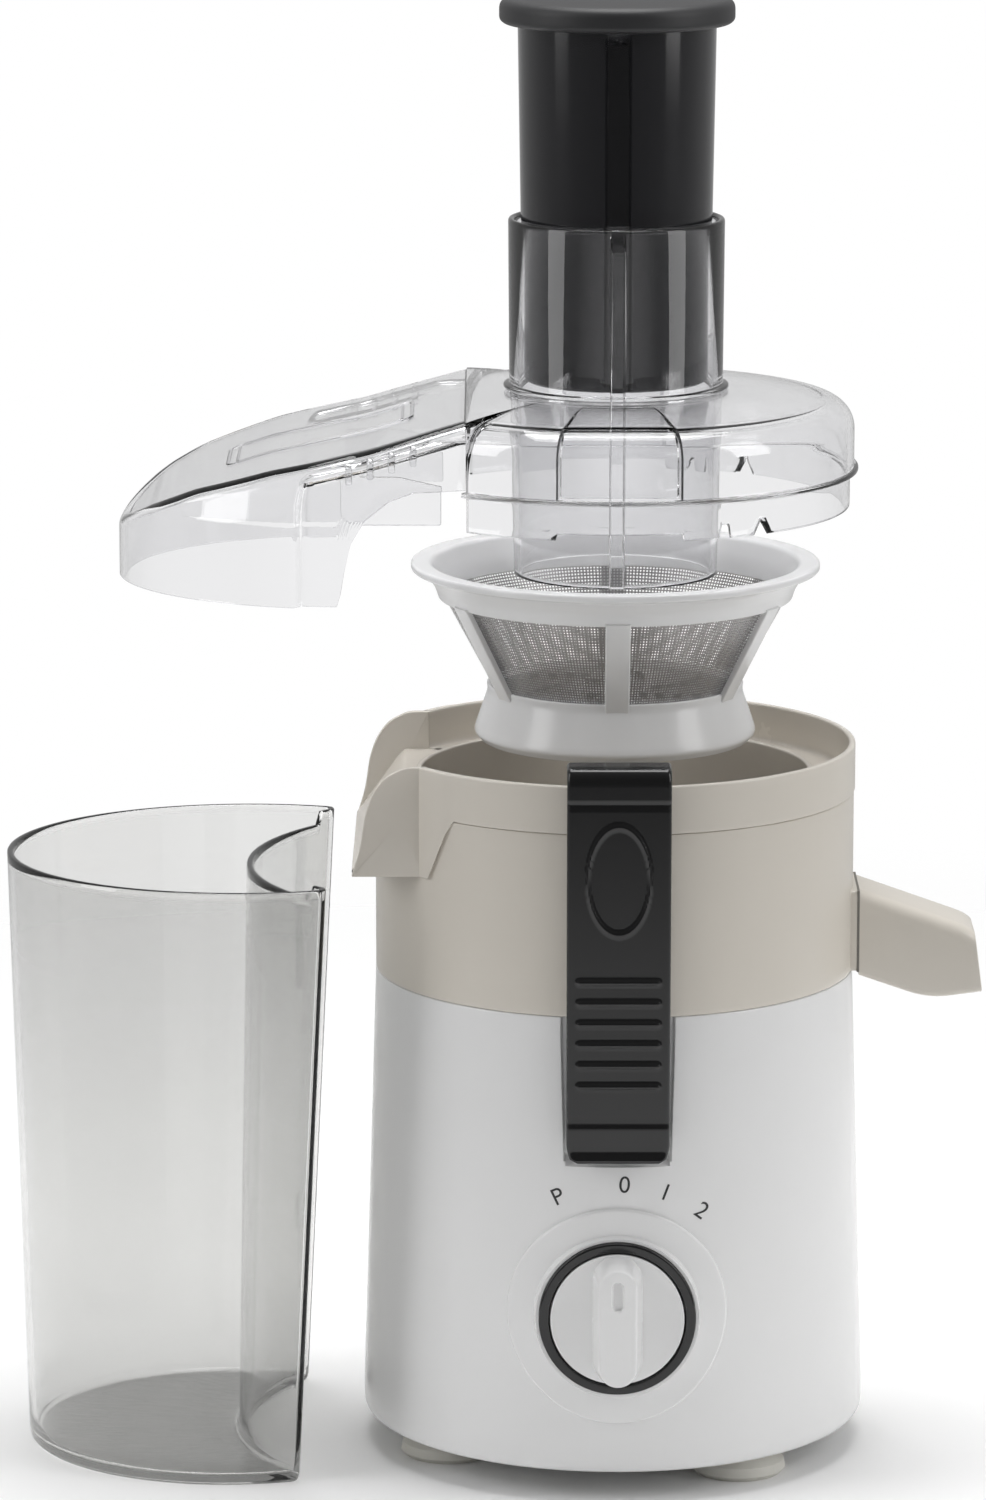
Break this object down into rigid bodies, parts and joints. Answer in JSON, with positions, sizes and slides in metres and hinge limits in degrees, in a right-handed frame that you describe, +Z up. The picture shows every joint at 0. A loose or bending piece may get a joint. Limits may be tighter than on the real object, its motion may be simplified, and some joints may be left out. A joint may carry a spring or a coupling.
{
  "type": "centrifugal juicer",
  "caption": "Upright centrifugal juicer drawn apart: clear lid with feed tube and pusher and a sieve basket raised over the bowl, pulp container beside it.",
  "frame": {"origin": "on the table under the motor shaft's axis", "axes": "+Z up along the shaft, -Y towards the dial, -X towards the pulp container, +X towards the juice spout"},
  "size_m": [0.329, 0.1951, 0.4943],
  "materials": {
    "white_abs": "moulded gloss",
    "grey_abs": "moulded satin",
    "beige_abs": "moulded satin",
    "black_abs": "moulded gloss",
    "clear_san": "clear, faint grey",
    "container_san": "clear, light smoke",
    "smoke_san": "translucent dark smoke",
    "cap_abs": "fine matt",
    "foot_rubber": "off-white",
    "seal_rubber": "matt",
    "spout_rubber": "matt",
    "phenolic": "moulded",
    "circuit_laminate": "solder mask",
    "cast_aluminium": "as cast",
    "zinc_steel": "zinc plated",
    "bearing_steel": "ground",
    "electrical_steel": "laminated",
    "enamelled_copper": "enamelled",
    "brass_strip": "drawn",
    "carbon": "pressed",
    "etched_stainless": "etched sheet",
    "stainless_sheet": "brushed"
  },
  "bodies": {
    "base": {"base_housing": "white_abs", "base_plate": "grey_abs", "feet": "foot_rubber", "base_screws": "zinc_steel", "dial_bezel": "white_abs", "dial_ring": "black_abs", "rotary_switch": "phenolic", "control_board": "circuit_laminate", "safety_switches": "phenolic", "cord_gland": "seal_rubber", "motor_mount": "cast_aluminium", "motor_bracket": "cast_aluminium", "motor_screws": "zinc_steel", "stator_core": "electrical_steel", "field_coils": "enamelled_copper", "brush_holders": "brass_strip", "brushes": "carbon", "upper_bearing": "bearing_steel", "lower_bearing": "bearing_steel", "shaft_seal": "seal_rubber", "bowl_seal": "seal_rubber", "juice_bowl": "beige_abs", "chamber_ring": "beige_abs", "pulp_collar": "beige_abs", "spout_gasket": "spout_rubber", "juice_spout": "beige_abs", "front_arm_pin": "bearing_steel", "rear_arm_pin": "bearing_steel"},
    "rotor": {"motor_shaft": "bearing_steel", "armature_core": "electrical_steel", "armature_winding": "enamelled_copper", "commutator": "enamelled_copper", "cooling_fan": "phenolic", "drive_coupling": "phenolic"},
    "basket": {"basket_frame": "white_abs", "mesh_screen": "etched_stainless", "cutter_disc": "stainless_sheet", "cutter_rivets": "stainless_sheet"},
    "lid": {"lid_cover": "clear_san", "pulp_hood": "clear_san", "feed_tube": "clear_san"},
    "pusher": {"pusher_cap": "cap_abs", "pusher_body": "smoke_san"},
    "front_arm": {"arm_front": "black_abs"},
    "rear_arm": {"arm_rear": "black_abs"},
    "dial_knob": {"knob": "white_abs", "knob_spindle": "grey_abs"},
    "container": {"pulp_container": "container_san"}
  },
  "joints": [
    {"name": "rotor_spin", "type": "hinge", "parent": "base", "child": "rotor", "pos_m": [0, 0, 0.1], "axis": [0, 0, 1], "continuous": true},
    {"name": "basket_lower", "type": "slide", "parent": "rotor", "child": "basket", "axis": [0, 0, -1], "range_m": [0, 0.0675]},
    {"name": "lid_lower", "type": "slide", "parent": "base", "child": "lid", "axis": [0, 0, -1], "range_m": [0, 0.0922]},
    {"name": "pusher_press", "type": "slide", "parent": "lid", "child": "pusher", "axis": [0, 0, -1], "range_m": [-0.055, 0.064]},
    {"name": "container_dock", "type": "slide", "parent": "base", "child": "container", "axis": [1, 0, 0], "range_m": [0, 0.035]},
    {"name": "front_arm_swing", "type": "hinge", "parent": "base", "child": "front_arm", "pos_m": [0, -0.0845, 0.1225], "axis": [1, 0, 0], "range_deg": [-3, 50]},
    {"name": "rear_arm_swing", "type": "hinge", "parent": "base", "child": "rear_arm", "pos_m": [0, 0.0845, 0.1225], "axis": [-1, 0, 0], "range_deg": [-3, 50]},
    {"name": "knob_turn", "type": "hinge", "parent": "base", "child": "dial_knob", "pos_m": [0, -0.0886, 0.0643], "axis": [0, 1, 0], "range_deg": [-27, 38]}
  ],
  "couplings": [
    {"joint": "basket_lower", "follows": "lid_lower", "ratio": 0.7321}
  ]
}
